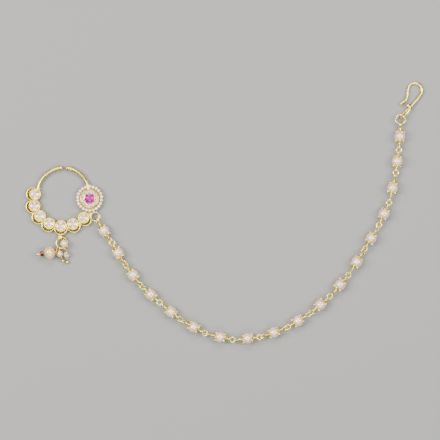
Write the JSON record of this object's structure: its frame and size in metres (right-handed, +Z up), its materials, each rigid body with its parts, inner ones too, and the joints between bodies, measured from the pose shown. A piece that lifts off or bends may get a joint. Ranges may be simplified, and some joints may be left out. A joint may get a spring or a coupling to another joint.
{
  "type": "hoop nose ring",
  "caption": "Hoop nose ring with a ruby rosette, stone-set scallops and drops, joined by a pearl chain to a hair hook.",
  "frame": {"origin": "bottom centre of the box round the whole piece as it lies flat", "axes": "+X from the hoop towards the hook, +Y up the picture, +Z straight up from the table"},
  "size_m": [0.1788, 0.1178, 0.0058],
  "materials": {
    "gold": "polished pale yellow gold",
    "pearl": "lustrous",
    "cream_pearl": "lustrous",
    "seed_pearl": "lustrous",
    "white_stone": "cut and polished",
    "ruby": "cut and polished",
    "garnet": "polished",
    "olive_glass": "polished",
    "crystal": "cut and polished"
  },
  "bodies": {
    "root": {"nath_frame": "gold", "white_stone_1": "white_stone", "white_stone_2": "white_stone", "white_stone_3": "white_stone", "white_stone_4": "white_stone", "white_stone_5": "white_stone", "white_stone_6": "white_stone", "white_stone_7": "white_stone", "centre_ruby": "ruby", "accent_stones": "white_stone", "seed_pearl_ring": "seed_pearl", "chain_pearl_01": "pearl", "chain_pin_01": "gold", "chain_pearl_02": "pearl", "chain_pin_02": "gold", "chain_pearl_03": "pearl", "chain_pin_03": "gold", "chain_pearl_04": "pearl", "chain_pin_04": "gold", "chain_pearl_05": "pearl", "chain_pin_05": "gold", "chain_pearl_06": "pearl", "chain_pin_06": "gold", "chain_pearl_07": "pearl", "chain_pin_07": "gold", "chain_pearl_08": "pearl", "chain_pin_08": "gold", "chain_pearl_09": "pearl", "chain_pin_09": "gold", "chain_pearl_10": "pearl", "chain_pin_10": "gold", "chain_pearl_11": "pearl", "chain_pin_11": "gold", "chain_pearl_12": "pearl", "chain_pin_12": "gold", "chain_pearl_13": "pearl", "chain_pin_13": "gold", "chain_pearl_14": "pearl", "chain_pin_14": "gold", "chain_pearl_15": "pearl", "chain_pin_15": "gold", "chain_pearl_16": "pearl", "chain_pin_16": "gold", "chain_pearl_17": "pearl", "chain_pin_17": "gold", "chain_pearl_18": "pearl", "chain_pin_18": "gold", "hook_ring": "gold", "hair_hook": "gold", "drop_ring": "gold", "drop_a_pin": "gold", "drop_a_pearl": "cream_pearl", "drop_a_garnet": "garnet", "drop_b_pin": "gold", "drop_b_pearl": "pearl", "drop_b_bead": "olive_glass", "drop_c_pin": "gold", "drop_c_pearl": "pearl", "drop_c_crystal": "crystal"}
  },
  "joints": []
}
